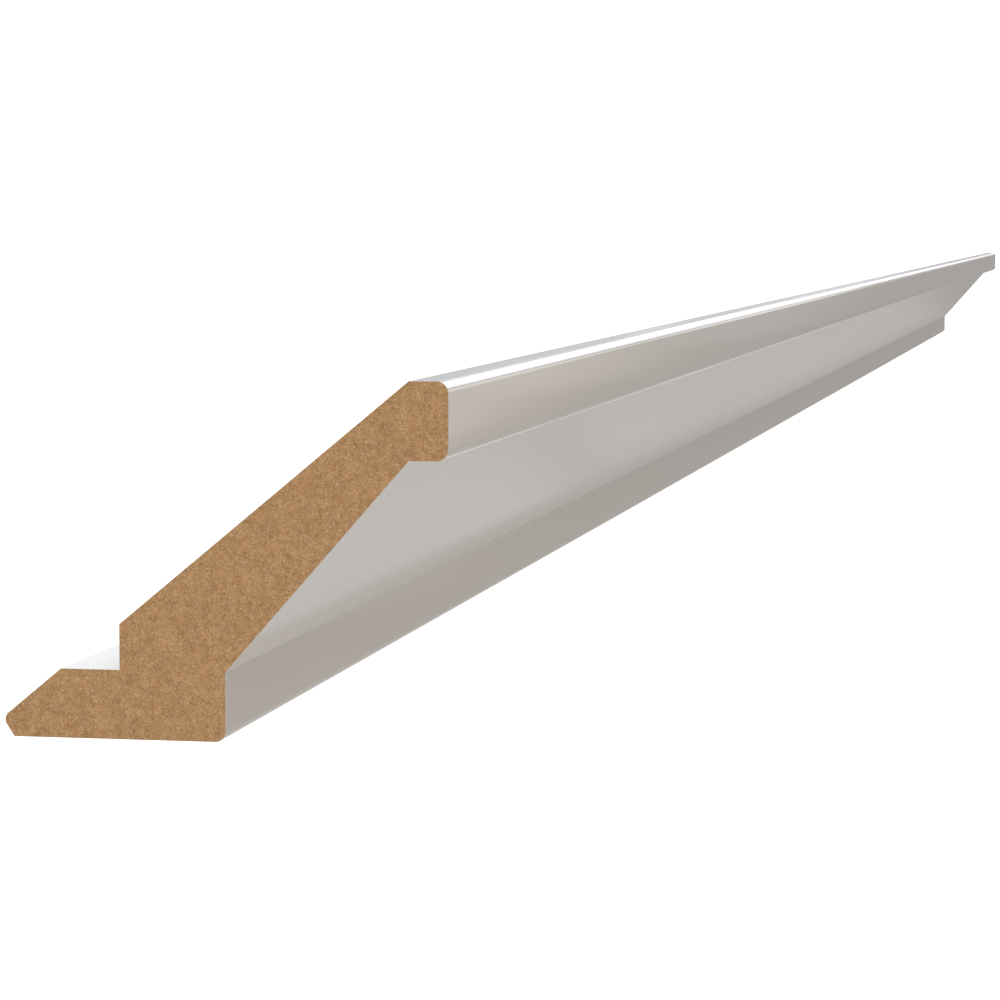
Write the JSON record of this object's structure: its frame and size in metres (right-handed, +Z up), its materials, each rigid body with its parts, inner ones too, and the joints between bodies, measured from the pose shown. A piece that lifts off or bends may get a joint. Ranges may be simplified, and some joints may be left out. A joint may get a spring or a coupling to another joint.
{
  "type": "kitchen cornice",
  "caption": "Straight length of sloping MDF kitchen cornice: upright fascia, slope, low foot with a flat underside, and a screw ledge with a thin toe behind.",
  "frame": {"origin": "middle of the flat underside, which seats on the top of a wall cabinet", "axes": "+X along the length, -Y towards the show side, +Z up"},
  "size_m": [2.4, 0.0883, 0.07],
  "materials": {
    "taupe_finish": "smooth satin taupe finish on the show faces of an MDF board: fascia, slope and foot",
    "white_backing": "smooth off-white backing on the top, the back slope, the riser, the ledge, the toe and the underside",
    "bare_mdf": "raw sawn MDF at the two ends"
  },
  "bodies": {
    "root": {"cornice": "taupe_finish"}
  },
  "joints": []
}
